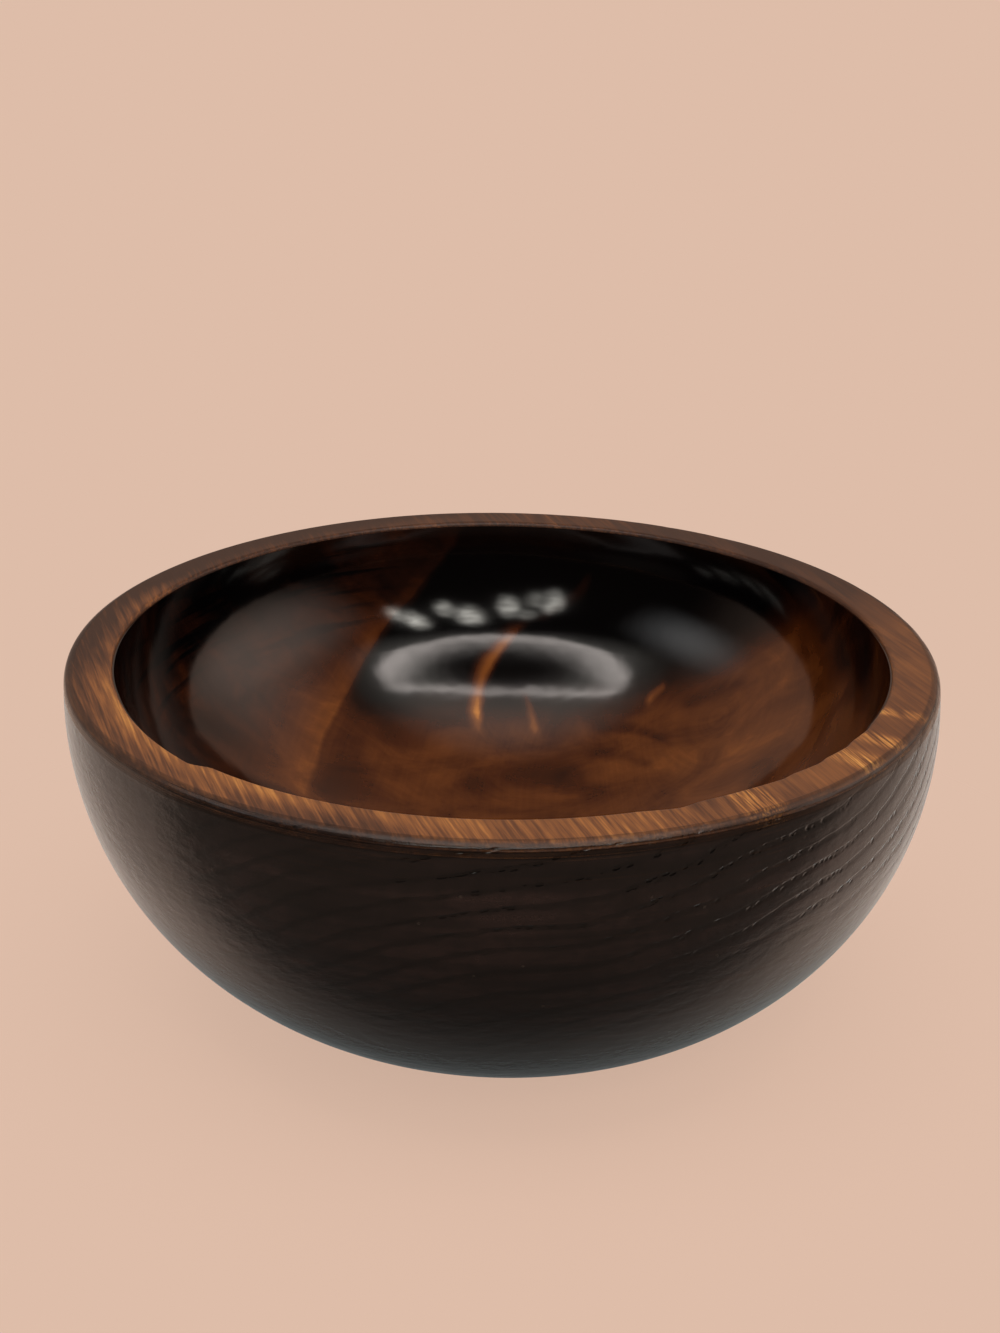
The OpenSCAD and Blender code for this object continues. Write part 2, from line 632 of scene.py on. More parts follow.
@dataclass(frozen=True)
class Seasoning:
    """How the wood has moved and worn since it was turned. The foot stays flat.

    The growth rings are sunk a little above a share of the height, and more to the right.
    """

    lean: float = 0.0015
    wobble: float = 0.0004
    wobble_scale: float = 24.0
    relief: float = 0.00008
    relief_high: Ease = (0.50, 0.75)
    relief_right: Ease = (-0.03, 0.06, 0.1, 1.0)
    seed: float = 4.0
    wear_skin: float = 0.0005
    wear_depth: float = 0.009
    nicks: tuple[Nick, ...] = (
        Nick(-43.5, 0.0017, 26.0, 4.0),
        Nick(22.5, 0.0009, 5.0, 4.0),
        Nick(39.0, 0.0004, 5.0, 2.5),
        Nick(46.0, 0.0004, 5.0, 2.5),
        Nick(53.0, 0.0004, 5.0, 2.5),
        Nick(60.0, 0.0003, 5.0, 2.5),
    )

    def sizes(self) -> dict[str, float]:
        """Gives the seasoning's sizes by name."""
        return {"lean": self.lean, "wobble": self.wobble, "relief": self.relief, "seed": self.seed}

    def offset(self, sheet: NodeSheet, sizes: Mapping[str, Field], block: WoodBlock,
               section: BowlSection) -> Field:
        """Adds the nodes that say how far each point moves.

        Args:
            sheet: The geometry tree.
            sizes: The seasoning's sizes by name.
            block: The block, whose growth rings stand a little proud outside.
            section: The bowl's section.

        Returns:
            The move, as a vector.
        """
        position = sheet.field("GeometryNodeInputPosition")
        normal = sheet.field("GeometryNodeInputNormal")
        x, y, z = sheet.split(position)
        share = z / section.bowl_h
        sideways = sheet.join(-(share * sizes["lean"]), 0.0)
        place = sheet.vector("ADD", position, sheet.join(sizes["seed"], 0.0))
        uneven = sheet.noise(place, self.wobble_scale, 1.0).swing(sizes["wobble"])
        swell = uneven * share + self.rim_wear(x, y, z, section)
        outward = sheet.vector("NORMALIZE", sheet.join(x, y))
        distance, _ = block.ring_places(block.grain_space(position))
        sunk = block.early_wood(distance) * sizes["relief"] * stain_share(sheet)
        sunk = sunk * share.eased(*self.relief_high) * x.eased(*self.relief_right)
        moved = sheet.vector("ADD", sideways, sheet.scaled(outward, swell))
        return sheet.vector("SUBTRACT", moved, sheet.scaled(normal, sunk))

    def rim_wear(self, x: Field, y: Field, z: Field, section: BowlSection) -> Field:
        """Gives how far the nicks push the inner edge of the rim outwards.

        Args:
            x: Place to the right.
            y: Place to the back.
            z: Height.
            section: The bowl's section.

        Returns:
            The push, in metres.
        """
        angle = x.sheet.turn(x, y)
        radius = x.sheet.length(x, y)
        edge, top = section.rim_inner_c[0] + self.wear_skin, section.bowl_h - self.wear_skin
        near_edge = radius.eased(edge, section.rim_outer_c[0], 1.0, 0.0)
        near_top = z.eased(section.bowl_h - self.wear_depth, top)
        return sum(nick.worn(angle) for nick in self.nicks) * (near_edge * near_top)


@dataclass
class TurnedPiece:
    """A closed piece that is swept round the turning axis by Geometry Nodes.

    Its section runs with the wood on the right hand all the way.
    """

    name: str
    stretches: Sequence[Stretch]
    block: WoodBlock
    seasoning: Seasoning
    section: BowlSection
    turns: int = 480
    weld: float = 1e-6
    crease: float = math.radians(40)
    stained_from: float = 0.88
    path_share: float = 0.25

    def tree_inputs(self) -> dict[str, float]:
        """Gives every size that the tree takes, by name."""
        inputs: dict[str, float] = {"turns": self.turns}
        for stretch in self.stretches:
            inputs[f"{stretch.name} points"] = stretch.steps + 1
            inputs.update({f"{stretch.name} {size}": value for size, value in stretch.sizes().items()})
        inputs.update(self.seasoning.sizes())
        return inputs

    def stained(self, curve: Field, stain: Point) -> Field:
        """Writes the share of stain along a stretch.

        Args:
            curve: The stretch's curve.
            stain: The share at its start and at its end.

        Returns:
            The curve with its stain.
        """
        along = curve.sheet.field("GeometryNodeSplineParameter", output="Factor")
        inputs = {"Geometry": curve, "Name": STAIN, "Value": along.straight(*stain)}
        kept = {"data_type": "FLOAT", "domain": "POINT"}
        return curve.sheet.field("GeometryNodeStoreNamedAttribute", inputs, "Geometry", **kept)

    def swept(self, sheet: NodeSheet, given: Mapping[str, Field]) -> Field:
        """Draws the section and sweeps it round the axis.

        Args:
            sheet: The geometry tree.
            given: The tree's inputs by name.

        Returns:
            The swept mesh.
        """
        join = sheet.add("GeometryNodeJoinGeometry")
        for stretch in self.stretches:
            sizes = {size: given[f"{stretch.name} {size}"] for size in stretch.sizes()}
            curve = stretch.draw(sizes, given[f"{stretch.name} points"])
            sheet.fill(join, {"Geometry": self.stained(curve, stretch.stain)})
        # The path is a small circle, so the section is drawn that much nearer the axis
        path_r = self.path_share * self.section.bowl_h
        near = {"Geometry": Field(sheet, join.outputs[0]), "Translation": (-path_r, 0.0, 0.0)}
        section = sheet.field("GeometryNodeTransform", near, "Geometry")
        circle = {"Resolution": given["turns"], "Radius": path_r}
        path = sheet.field("GeometryNodeCurvePrimitiveCircle", circle, "Curve", mode="RADIUS")
        sweep = sheet.field("GeometryNodeCurveToMesh", {"Curve": path, "Profile Curve": section})
        return sheet.field("GeometryNodeMergeByDistance", {"Geometry": sweep, "Distance": self.weld})

    def seasoned(self, mesh: Field, given: Mapping[str, Field]) -> Field:
        """Moves the mesh as the wood has moved, and shades it smooth between its sharp edges.

        Args:
            mesh: The swept mesh.
            given: The tree's inputs by name.

        Returns:
            The moved mesh.
        """
        sheet = mesh.sheet
        sizes = {size: given[size] for size in self.seasoning.sizes()}
        offset = self.seasoning.offset(sheet, sizes, self.block, self.section)
        moved = sheet.field("GeometryNodeSetPosition", {"Geometry": mesh, "Offset": offset})
        smooth = {0: moved, "Shade Smooth": True}
        smoothed = sheet.field("GeometryNodeSetShadeSmooth", smooth, domain="FACE")
        angle = sheet.field("GeometryNodeInputMeshEdgeAngle", output="Unsigned Angle")
        sharp = sheet.math("GREATER_THAN", angle, self.crease)
        creased = {0: smoothed, "Selection": sharp, "Shade Smooth": False}
        return sheet.field("GeometryNodeSetShadeSmooth", creased, domain="EDGE")

    def build_tree(self, material: bpy.types.Material, stained: Optional[bpy.types.Material]
                   ) -> tuple[bpy.types.NodeTree, dict[str, str]]:
        """Makes the tree that sweeps the section.

        Args:
            material: The piece's finish.
            stained: The finish of its stained part, where that is another.

        Returns:
            The tree, and the identifier of each of its inputs by name.
        """
        tree = bpy.data.node_groups.new(f"turn {self.name}", "GeometryNodeTree")
        sheet = NodeSheet(tree)
        identifiers = {}
        for name, value in self.tree_inputs().items():
            kind = "NodeSocketInt" if isinstance(value, int) else "NodeSocketFloat"
            socket = tree.interface.new_socket(name=name, in_out="INPUT", socket_type=kind)
            identifiers[name] = socket.identifier
        tree.interface.new_socket(name="piece", in_out="OUTPUT", socket_type="NodeSocketGeometry")
        given = {socket.name: Field(sheet, socket) for socket in sheet.add("NodeGroupInput").outputs}
        mesh = self.seasoned(self.swept(sheet, given), given)
        realized = sheet.field("GeometryNodeRealizeInstances", {"Geometry": mesh})
        dressed = sheet.field("GeometryNodeSetMaterial", {"Geometry": realized, "Material": material})
        if stained is not None:
            outside = sheet.math("GREATER_THAN", stain_share(sheet), self.stained_from)
            inputs = {"Geometry": dressed, "Selection": outside, "Material": stained}
            dressed = sheet.field("GeometryNodeSetMaterial", inputs)
        sheet.add("NodeGroupOutput", {0: dressed})
        return tree, identifiers

    def build(self, material: bpy.types.Material,
              stained: Optional[bpy.types.Material] = None) -> bpy.types.Object:
        """Sweeps the piece and keeps it as a plain mesh.

        Args:
            material: The piece's finish.
            stained: The finish of its stained part, where that is another.

        Returns:
            The finished object, at the origin.
        """
        tree, identifiers = self.build_tree(material, stained)
        piece = bpy.data.objects.new(self.name, bpy.data.meshes.new(self.name))
        bpy.context.scene.collection.objects.link(piece)
        turning = piece.modifiers.new("turning", "NODES")
        turning.node_group = tree
        for name, value in self.tree_inputs().items():
            turning[identifiers[name]] = value
        graph = bpy.context.evaluated_depsgraph_get()
        mesh = bpy.data.meshes.new_from_object(piece.evaluated_get(graph))
        piece.modifiers.remove(turning)
        piece.data = mesh
        mesh.name = self.name
        LOG.info("%s: %d vertices, %d faces", self.name, len(mesh.vertices), len(mesh.polygons))
        return piece


@dataclass(frozen=True)
class Streak:
    """A growth line on the rolled-out hollow: a curve through three points, soft to each side.

    Each pair of numbers holds at the first point and at the last.
    """

    points: tuple[Point, Point, Point]
    gain: Point
    left: Point
    right: Point
    sideways: bool = False
    fade: float = 0.25

    def gap(self, across: Field, back: Field) -> Field:
        """Gives how far a place lies to the right of the curve, or behind one that runs sideways.

        Args:
            across: The place across the rolled-out hollow.
            back: The place towards its back.

        Returns:
            The distance, negative on the other side.
        """
        run, place = (across, back) if self.sideways else (back, across)
        (p0, t0), (p1, t1), (p2, t2) = [point[::-1] if self.sideways else point for point in self.points]
        first = (p1 - p0) / (t1 - t0)
        bend = ((p2 - p1) / (t2 - t1) - first) / (t2 - t0)
        slope = (run - t1) * bend + first
        return place - ((run - t0) * slope + p0)

    def shade(self, across: Field, back: Field) -> Field:
        """Gives how much lighter the streak makes a place.

        Args:
            across: The place across the rolled-out hollow.
            back: The place towards its back.

        Returns:
            The gain, 0 away from the streak.
        """
        run, axis = (across, 0) if self.sideways else (back, 1)
        along = run.eased(self.points[0][axis], self.points[2][axis], kind="LINEAR")
        gap = self.gap(across, back)
        left = along.straight(-self.left[0], -self.left[1])
        inside = gap.eased(left, 0.0) * gap.eased(along.straight(*self.right), 0.0)
        ends = along.eased(0.0, self.fade) * along.eased(1.0, 1.0 - self.fade)
        return inside * ends * along.straight(*self.gain)


class Gloss(Enum):
    """How shiny a finish is: its roughness at the smoothest and at the roughest places."""

    LACQUER = (0.5, 0.6)
    SATIN = (0.11, 0.23)


@dataclass(frozen=True)
class WoodFinish(ABC):
    """A finish on the block's wood, painted by where each point lies in the block."""

    block: WoodBlock
    section: BowlSection
    name: str
    gloss: Gloss

    @abstractmethod
    def paint(self, sheet: NodeSheet, shader: bpy.types.Node) -> None:
        """Adds the nodes of the finish.

        Args:
            sheet: The material's tree.
            shader: The shader that they feed.
        """

    def make(self) -> bpy.types.Material:
        """Makes the finish as a material."""
        material = bpy.data.materials.new(self.name)
        material.use_nodes = True
        self.paint(NodeSheet(material.node_tree), material.node_tree.nodes["Principled BSDF"])
        return material

    def roughness(self, share: Field) -> Field:
        """Gives a roughness between the gloss's two ends."""
        return share.straight(*self.gloss.value)


@dataclass(frozen=True)
class StainedSatin(WoodFinish):
    """Dark stain outside, worn off the rim, where the bare wood shows.

    Places are in metres in the bowl's frame, and the levels of an ease are changes of tone.
    """

    name: str = "stained_satin_wood"
    gloss: Gloss = Gloss.SATIN
    bare_roughness: float = 0.27
    specular: float = 0.5
    sheen: float = 0.0
    sheen_roughness: float = 0.30
    sheen_tint: Colour = (0.80, 0.95, 1.0)

    # Width, length and finer layers of the fibres, and scales of the other patterns
    fine_fibre: Place = (0.00042, 0.012, 3.0)
    broad_fibre: Place = (0.0028, 0.040, 2.0)
    ribbon_fibre: Place = (0.0013, 0.030, 2.0)
    patch_scale: float = 34.0
    turned_scales: Place = (14.0, 14.0, 420.0)
    lathe_scales: Place = (12.0, 12.0, 2600.0)
    worked_scales: Place = (280.0, 280.0, 560.0)
    worked_detail: float = 3.0

    # The stain and how deep it is, with painted shade low down and under the rim
    stain_stops: Stops = (
        (0.15, (0.0030, 0.0023, 0.0021)),
        (0.50, (0.0082, 0.0050, 0.0044)),
        (0.85, (0.0250, 0.0130, 0.0108)),
    )
    stain_base: float = 0.5
    stain_fine: float = 0.30
    stain_broad: float = 0.45
    stain_patch: float = 0.70
    stain_turned: float = 0.75
    # Painted shade: the stain is darker towards the foot and a little lighter high up
    painted_shade_low: Ease = (0.010, 0.055, -0.16, 0.05)
    # Partly deeper stain, partly painted shade under the rim's lip: a darker band high on the outside
    stain_and_shade_under_lip: Ease = (0.063, 0.069, 0.0, -0.20)
    stain_early: float = -0.24
    rubbed: Place = (-0.068, -0.036, 0.038)
    stain_rubbed: Ease = (0.034, 0.004, 0.0, 0.30)

    # Pores and pale flecks in the stain
    pore_colour: Colour = (0.0008, 0.0006, 0.0005)
    pore_spacing: Place = (0.0011, 0.0019, 0.0034)
    pore_reach: float = 0.50
    pore_high: Ease = (0.045, 0.056)
    pore_right: Ease = (-0.045, 0.0)
    pore_least: float = 0.15
    pore_break_scale: float = 60.0
    pore_break: Ease = (0.32, 0.48)
    fleck_colour: Colour = (0.060, 0.045, 0.034)
    fleck_spacing: Place = (0.0060, 0.0075, 0.0060)
    fleck_reach: float = 0.07
    fleck_share: float = 0.4

    # Where the stain is worn off the edge of the rim
    wear_lathe: Ease = (0.10, 0.40, 0.0, 0.70)
    wear_patch: float = 0.30
    wear_fine: float = 0.10
    cover: Ease = (0.15, 0.95)
    bare_cover: Point = (0.5, 1.0)

    # The bare wood of the rim
    rim_stops: Stops = (
        (0.00, (0.030, 0.0100, 0.0045)),
        (0.30, (0.095, 0.0310, 0.0095)),
        (0.55, (0.205, 0.0700, 0.0165)),
        (0.80, (0.370, 0.1450, 0.0300)),
        (1.00, (0.560, 0.2700, 0.0620)),
    )
    rim_base: float = 0.505
    rim_lines: Ease = (0.36, 0.64)
    rim_ribbon: Ease = (0.34, 0.66)
    rim_streaky: Ease = (0.020, 0.055, 0.24, 0.12)
    rim_patch: float = 0.55
    rim_right: Ease = (0.015, 0.045, 0.0, -0.165)
    rim_edge_w: float = 0.0050
    rim_edge_left: Ease = (0.010, -0.045, 0.0, -0.34)
    rim_worn: Ease = (0.0, -0.045, -0.12, 0.17)
    rim_worn_left: Ease = (-0.025, -0.060)
    rim_back: Ease = (-0.02, 0.07, 0.0, -0.37)
    golden: tuple[Point, ...] = ((31.0, 4.0), (49.5, 3.4), (56.5, 2.6), (66.0, 2.0))
    golden_core: float = 0.3
    golden_gain: float = 0.46

    # The fine relief outside
    ridge_right: Ease = (-0.01, 0.06, 0.0, -0.32)
    ridge_high: Ease = (0.044, 0.058)
    relief_pores: float = -0.7
    relief_fine: float = 0.20
    relief_worked: float = 0.80
    relief_strength: float = 0.7
    relief_depth: float = 0.00022

    def paint(self, sheet: NodeSheet, shader: bpy.types.Node) -> None:
        """Adds the nodes of the bare rim and of the stained outside."""
        block = self.block
        position = sheet.field("ShaderNodeTexCoord", output="Object")
        x, _, z = sheet.split(position)
        grain = block.grain_space(position)
        distance, round_ring = block.ring_places(grain)
        early = block.early_wood(distance)
        fine = block.fibres(grain, *self.fine_fibre)
        broad = block.fibres(grain, *self.broad_fibre)
        patch = sheet.noise(grain, self.patch_scale)
        pores = self.pores(position, grain, distance, round_ring, early)

        depth = self.stain_base + fine.swing(self.stain_fine) + broad.swing(self.stain_broad)
        depth += patch.swing(self.stain_patch)
        depth += sheet.stretched(position, self.turned_scales).swing(self.stain_turned)
        # Painted shade darkens the stain towards the foot and in a band just under the rim
        depth += z.eased(*self.painted_shade_low) + z.eased(*self.stain_and_shade_under_lip) + early * self.stain_early
        depth += sheet.vector("DISTANCE", position, self.rubbed).eased(*self.stain_rubbed)
        flecks = block.pores(grain, self.fleck_spacing, self.fleck_reach)
        stained = sheet.blend(pores, sheet.ramp(depth, self.stain_stops), self.pore_colour)
        stained = sheet.blend(flecks * self.fleck_share, stained, self.fleck_colour)

        stain = sheet.field("ShaderNodeAttribute", output="Fac", attribute_name=STAIN,
                            attribute_type="GEOMETRY")
        lathe = sheet.stretched(position, self.lathe_scales).swing(stain.eased(*self.wear_lathe))
        worn = lathe + stain + patch.swing(self.wear_patch) + fine.swing(self.wear_fine)
        cover = worn.eased(*self.cover)
        bare = sheet.ramp(self.rim_tone(position, grain, fine, patch), self.rim_stops)

        ridges = early * (x.eased(*self.ridge_right) * z.eased(*self.ridge_high))
        worked = sheet.stretched(position, self.worked_scales, self.worked_detail)
        relief = pores * self.relief_pores + fine * self.relief_fine + worked * self.relief_worked
        shine = self.roughness(broad * 0.5 + fine * 0.5)
        sheet.fill(shader, {
            "Base Color": sheet.blend(cover, bare, stained),
            "Roughness": shine + cover.eased(*self.bare_cover, self.bare_roughness, 0.0),
            "Specular IOR Level": self.specular,
            "Sheen Weight": self.sheen,
            "Sheen Roughness": self.sheen_roughness,
            "Sheen Tint": opaque(self.sheen_tint),
            "Normal": sheet.bump((relief + ridges) * cover, self.relief_strength, self.relief_depth),
        })

    def rim_tone(self, position: Field, grain: Field, fine: Field, patch: Field) -> Field:
        """Says how light the bare wood of the rim is.

        Args:
            position: The place, in the bowl's frame.
            grain: The place, in grain space.
            fine: The finest fibres.
            patch: Broad patches.

        Returns:
            The tone, 0 for dark wood and 1 for golden wood.
        """
        sheet = position.sheet
        x, y, _ = sheet.split(position)
        lines = fine.eased(*self.rim_lines)
        ribbon = self.block.fibres(grain, *self.ribbon_fibre).eased(*self.rim_ribbon)
        streaky = x.eased(*self.rim_streaky)
        tone = self.rim_base + lines.swing(streaky) + ribbon.swing(streaky) + patch.swing(self.rim_patch)
        tone += x.eased(*self.rim_right)
        angle = sheet.turn(x, y)
        for turn, half in self.golden:
            gap = sheet.math("ABSOLUTE", angle - math.radians(turn))
            reach = math.radians(half)
            tone += gap.eased(self.golden_core * reach, reach, self.golden_gain, 0.0) * lines
        edge = self.section.rim_outer_c[0]
        tone += sheet.length(x, y).eased(edge - self.rim_edge_w, edge) * x.eased(*self.rim_edge_left)
        tone += y.eased(*self.rim_worn) * x.eased(*self.rim_worn_left)
        return tone + y.eased(*self.rim_back)

    def pores(self, position: Field, grain: Field, distance: Field, round_ring: Field,
              early: Field) -> Field:
        """Opens rows of pores where the rings are cut aslant, high on the right of the front.

        Args:
            position: The place, in the bowl's frame.
            grain: The place, in grain space.
            distance: Its distance from the pith.
            round_ring: Its place round the ring.
            early: 1 in the open start of each ring.

        Returns:
            1 in the middle of a pore.
        """
        sheet = position.sheet
        _, along, _ = sheet.split(grain)
        x, _, z = sheet.split(position)
        place = sheet.field("ShaderNodeCombineXYZ", {0: distance, 1: round_ring, 2: along})
        pores = self.block.pores(place, self.pore_spacing, self.pore_reach)
        share = z.eased(*self.pore_high) * x.eased(*self.pore_right)
        broken = sheet.noise(grain, self.pore_break_scale, 1.0).eased(*self.pore_break)
        return pores * early * (share.straight(self.pore_least, 1.0) * broken)


@dataclass(frozen=True)
class LacqueredFigure(WoodFinish):
    """Clear gloss lacquer over the figured wood of the hollow.

    A long growth line slants from the back rim down to the left, the wood behind it is black, and the
    lines on the right curl round a knot. Places are shares of the bowl's radius on the rolled-out hollow:
    across to the right, to the back, and as a run from the middle up the section.
    """

    name: str = "lacquered_figured_wood"
    gloss: Gloss = Gloss.LACQUER
    coat_roughness: float = 0.09
    coat_ior: float = 1.50
    peel_scale: float = 90.0
    peel_strength: float = 0.15
    peel_depth: float = 0.0004
    least_r: float = 1e-6

    # The figure and its patterns
    figure_stops: Stops = (
        (0.04, (0.0006, 0.0004, 0.0005)),
        (0.22, (0.0100, 0.0026, 0.0012)),
        (0.42, (0.0420, 0.0095, 0.0020)),
        (0.60, (0.0980, 0.0270, 0.0060)),
        (0.78, (0.2100, 0.0660, 0.0120)),
        (0.97, (0.6400, 0.2400, 0.0320)),
    )
    broad_drift: Place = (3.2, 0.024, 1.0)
    fine_drift: Place = (15.0, 0.007, 2.0)
    fibre_size: Point = (0.014, 0.30)
    fibre_detail: float = 3.0
    cloud_scales: Place = (4.4, 7.5, 1.0)
    cloud_settings: Place = (5.0, 0.60, 0.6)
    base: float = 0.520
    fibre_reach: float = 0.09
    cloud_reach: float = 0.62

    # Changes of tone over the hollow, with painted shade high on the wall under the rim
    left_tone: Ease = (-0.42, -0.90, 0.0, -0.29)
    right_tone: Ease = (0.92, 1.05, 0.0, -0.15)
    back_tone: Ease = (0.44, 0.95, 0.0, -0.16)
    # Painted shade: the wood is darker high on the wall, just under the rim
    painted_shade_under_rim: Ease = (0.97, 1.12, 0.0, -0.15)
    shade_beside: Ease = (-0.34, -0.04)
    shade_back: Ease = (0.50, 0.80, 0.0, -0.08)

    # The black heart behind the slanting line: where it starts, and how that bends to each side
    heart_beside: Ease = (-0.01, 0.04)
    heart_back: Ease = (0.58, 0.78)
    heart_left: Point = (-0.10, -0.2)
    heart_right: Point = (0.20, 0.08)
    heart_dark: float = -0.95

    # The knot, its rings and the lines that curl round it
    knot: Point = (0.61, 0.48)
    knot_flow: Ease = (0.10, 0.42)
    knot_ring_w: float = 0.066
    knot_ring_tone: Ease = (0.10, 0.34, 0.011, 0.0)
    knot_tone: Ease = (0.10, 0.36, 0.07, 0.0)

    # The light band up the right wall, and the dark lines under the rim on the left
    band_right: Ease = (0.84, 0.97)
    band_low: Ease = (1.12, 1.02)
    band_tone: Ease = (0.50, 0.30, 0.06, 0.03)
    line_w: float = 0.022
    line_turns: float = 2.2
    line_edge: Ease = (0.50, 0.68)
    line_high: Ease = (0.88, 1.02)
    line_tone: Ease = (-0.25, -0.60, 0.0, 0.20)

    # The slanting line, the bright streaks, the last of them a painted highlight, and the dark strokes
    slant: Streak = Streak(((-0.17, 1.19), (-0.465, 0.66), (-0.525, 0.10)),
                           (0.12, 0.19), (0.012, 0.27), (0.010, 0.020))
    bright_streaks_and_highlight: tuple[Streak, ...] = (
        Streak(((0.070, 0.96), (-0.078, 0.755), (-0.068, 0.555)),
               (0.85, 0.50), (0.080, 0.036), (0.050, 0.022)),
        Streak(((0.038, 0.73), (0.062, 0.65), (0.080, 0.565)),
               (0.28, 0.28), (0.020, 0.026), (0.018, 0.022)),
        Streak(((0.06, 0.93), (0.17, 0.973), (0.30, 1.05)),
               (0.14, 0.14), (0.02, 0.05), (0.02, 0.03), True),
        # Painted highlight: a short pale dash where a lamp's reflection falls, drawn as lighter wood
        Streak(((0.39, 0.622), (0.434, 0.647), (0.475, 0.664)),
               (0.28, 0.30), (0.030, 0.026), (0.030, 0.026), True),
    )
    strokes: tuple[Streak, ...] = (
        Streak(((0.20, 0.60), (0.33, 0.55), (0.465, 0.452)),
               (0.08, 0.16), (0.03, 0.02), (0.06, 0.03), True),
        Streak(((0.22, 0.52), (0.316, 0.46), (0.41, 0.385)),
               (0.10, 0.15), (0.05, 0.03), (0.05, 0.03), True),
        Streak(((0.46, 0.58), (0.60, 0.57), (0.74, 0.53)),
               (0.14, 0.10), (0.04, 0.04), (0.04, 0.04), True),
        Streak(((-0.22, 0.35), (0.02, 0.45), (0.26, 0.40)),
               (0.08, 0.18), (0.07, 0.10), (0.05, 0.10), True),
        Streak(((-0.33, 0.82), (-0.42, 0.52), (-0.47, 0.12)),
               (0.14, 0.14), (0.08, 0.08), (0.17, 0.17)),
        Streak(((0.18, 0.38), (0.34, 0.33), (0.48, 0.25)),
               (0.06, 0.06), (0.10, 0.10), (0.10, 0.10), True),
    )

    def paint(self, sheet: NodeSheet, shader: bpy.types.Node) -> None:
        """Adds the nodes of the figure and of the coat over it."""
        position = sheet.field("ShaderNodeTexCoord", output="Object")
        tone, fibre = self.tone(position)
        peel = sheet.noise(position, self.peel_scale)
        sheet.fill(shader, {
            "Base Color": sheet.ramp(tone, self.figure_stops),
            "Roughness": self.roughness(fibre),
            "Specular IOR Level": 0.0,
            "Coat Weight": 1.0,
            "Coat Roughness": self.coat_roughness,
            "Coat IOR": self.coat_ior,
            "Coat Normal": sheet.bump(peel, self.peel_strength, self.peel_depth),
        })

    def rolled_out(self, position: Field) -> tuple[Field, Field, Field]:
        """Rolls the hollow out flat.

        Args:
            position: A place on the hollow, in the bowl's frame.

        Returns:
            Its place across and to the back, and its run from the middle up the section.
        """
        section, sheet = self.section, position.sheet
        x, y, z = sheet.split(position)
        radius = sheet.length(x, y)
        meet = section.hollow_meet + math.pi / 2
        wall_r, wall_z = section.hollow_wall_c
        floor_turn = sheet.math("ARCTAN2", radius, section.hollow_floor_c[1] - z)
        wall_turn = sheet.math("ARCTAN2", radius - wall_r, wall_z - z)
        on_floor = sheet.math("MINIMUM", floor_turn, meet) * (section.hollow_floor_r / section.bowl_r)
        on_wall = sheet.math("MAXIMUM", wall_turn - meet, 0.0) * (section.hollow_wall_r / section.bowl_r)
        run = on_floor + on_wall
        stretch = run / sheet.math("MAXIMUM", radius, self.least_r)
        return x * stretch, y * stretch, run

    def tone(self, position: Field) -> tuple[Field, Field]:
        """Says how light the wood is.

        Args:
            position: The place, in the bowl's frame.

        Returns:
            The tone, 0 for black wood and 1 for bright orange wood, and the finest fibres.
        """
        sheet = position.sheet
        flat_across, flat_back, run = self.rolled_out(position)
        wavy = sheet.drift(sheet.join(flat_across, flat_back), *self.broad_drift)
        wavy = sheet.drift(wavy, *self.fine_drift)
        across, back, _ = sheet.split(wavy)
        beside = self.slant.gap(across, back)
        to_knot = sheet.vector("DISTANCE", wavy, (*self.knot, 0.0))
        flow = (to_knot - beside) * across.eased(*self.knot_flow) + beside
        fibre_w, fibre_length = self.fibre_size
        fibre = sheet.noise(sheet.join(flow / fibre_w, back / fibre_length), 1.0, self.fibre_detail)
        cloud = sheet.stretched(wavy, self.cloud_scales, *self.cloud_settings)

        tone = self.base + fibre.swing(self.fibre_reach) + cloud.swing(self.cloud_reach)
        tone += across.eased(*self.left_tone) + across.eased(*self.right_tone)
        # Painted shade high on the wall, under the rim
        tone += back.eased(*self.back_tone) + run.eased(*self.painted_shade_under_rim)
        tone += beside.eased(*self.shade_beside) * back.eased(*self.shade_back)
        tone += self.knot_rings(to_knot) + self.wall_lines(across, back, run)
        tone += self.heart(across, back, beside) * (tone * self.heart_dark)
        # The last bright streak is a painted highlight
        for streak in (self.slant, *self.bright_streaks_and_highlight):
            tone += streak.shade(across, back)
        for stroke in self.strokes:
            tone -= stroke.shade(across, back)
        return tone, fibre

    def heart(self, across: Field, back: Field, beside: Field) -> Field:
        """Gives 1 in the black wood behind the slanting line.

        Args:
            across: The place across the rolled-out hollow.
            back: The place towards its back.
            beside: How far it lies to the right of the slanting line.

        Returns:
            The share of black.
        """
        (left, left_bend), (right, right_bend) = self.heart_left, self.heart_right
        to_left = across.sheet.math("MINIMUM", across - left, 0.0)
        to_right = across.sheet.math("MAXIMUM", across - right, 0.0)
        behind = to_left * left_bend + to_right * right_bend + back
        return beside.eased(*self.heart_beside) * behind.eased(*self.heart_back)

    def knot_rings(self, to_knot: Field) -> Field:
        """Gives the faint rings and the lighter wood round the knot."""
        rings = to_knot.sheet.math("SINE", to_knot * (2.0 * math.pi / self.knot_ring_w))
        return rings * to_knot.eased(*self.knot_ring_tone) + to_knot.eased(*self.knot_tone)

    def wall_lines(self, across: Field, back: Field, run: Field) -> Field:
        """Gives the light band up the right wall and the dark lines under the rim on the left.

        Args:
            across: The place across the rolled-out hollow.
            back: The place towards its back.
            run: The way up the section.

        Returns:
            The change of tone, about 0 elsewhere.
        """
        sheet = across.sheet
        band = across.eased(*self.band_right) * run.eased(*self.band_low) * back.eased(*self.band_tone)
        turn = sheet.math("ARCTAN2", across, back)
        lines = sheet.noise(sheet.join(run / self.line_w, turn * self.line_turns), 1.0)
        lines = lines.eased(*self.line_edge) * run.eased(*self.line_high)
        return band - lines * across.eased(*self.line_tone)


